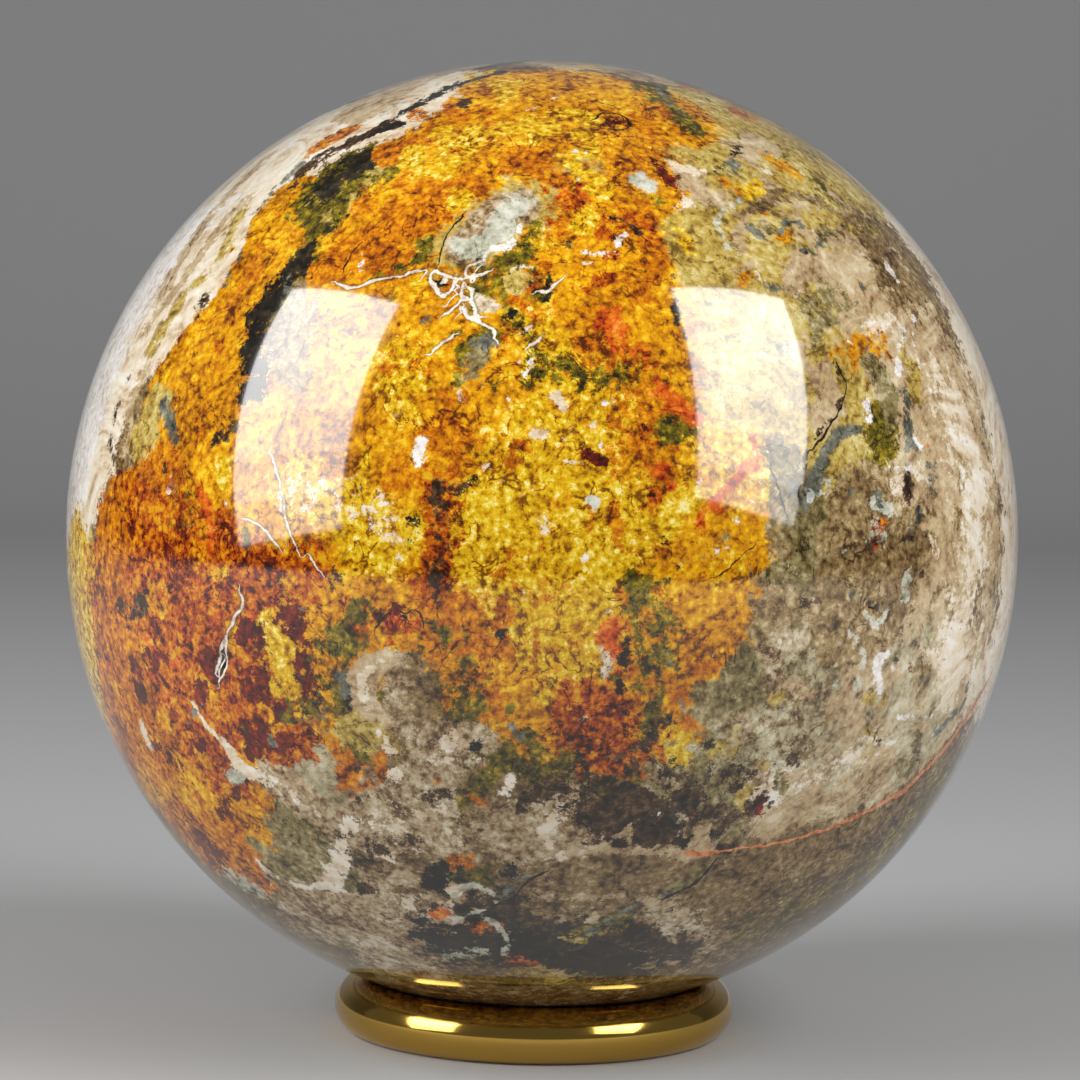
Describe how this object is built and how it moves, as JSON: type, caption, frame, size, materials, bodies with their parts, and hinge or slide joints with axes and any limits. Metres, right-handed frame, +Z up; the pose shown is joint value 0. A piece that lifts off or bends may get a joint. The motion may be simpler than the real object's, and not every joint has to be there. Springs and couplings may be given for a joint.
{
  "type": "polished stone sphere on ring stand",
  "caption": "Polished jasper sphere resting loose on a plain round brass ring stand, a free-standing ornament or paperweight.",
  "frame": {"origin": "on the table, at the centre of the ring's flat foot", "axes": "+Z up, along the axis that the ring and the ball share; the ball's show face looks along -Y; +X is to the right seen from the front"},
  "size_m": [0.118, 0.118, 0.121],
  "materials": {
    "jasper": "polished",
    "brass": "polished"
  },
  "bodies": {
    "stand": {"ring_stand": "brass"},
    "ball": {"jasper_ball": "jasper"}
  },
  "joints": [
    {"name": "ball_lift", "type": "slide", "parent": "stand", "child": "ball", "axis": [0, 0, 1], "range_m": [0, 0.04]}
  ]
}
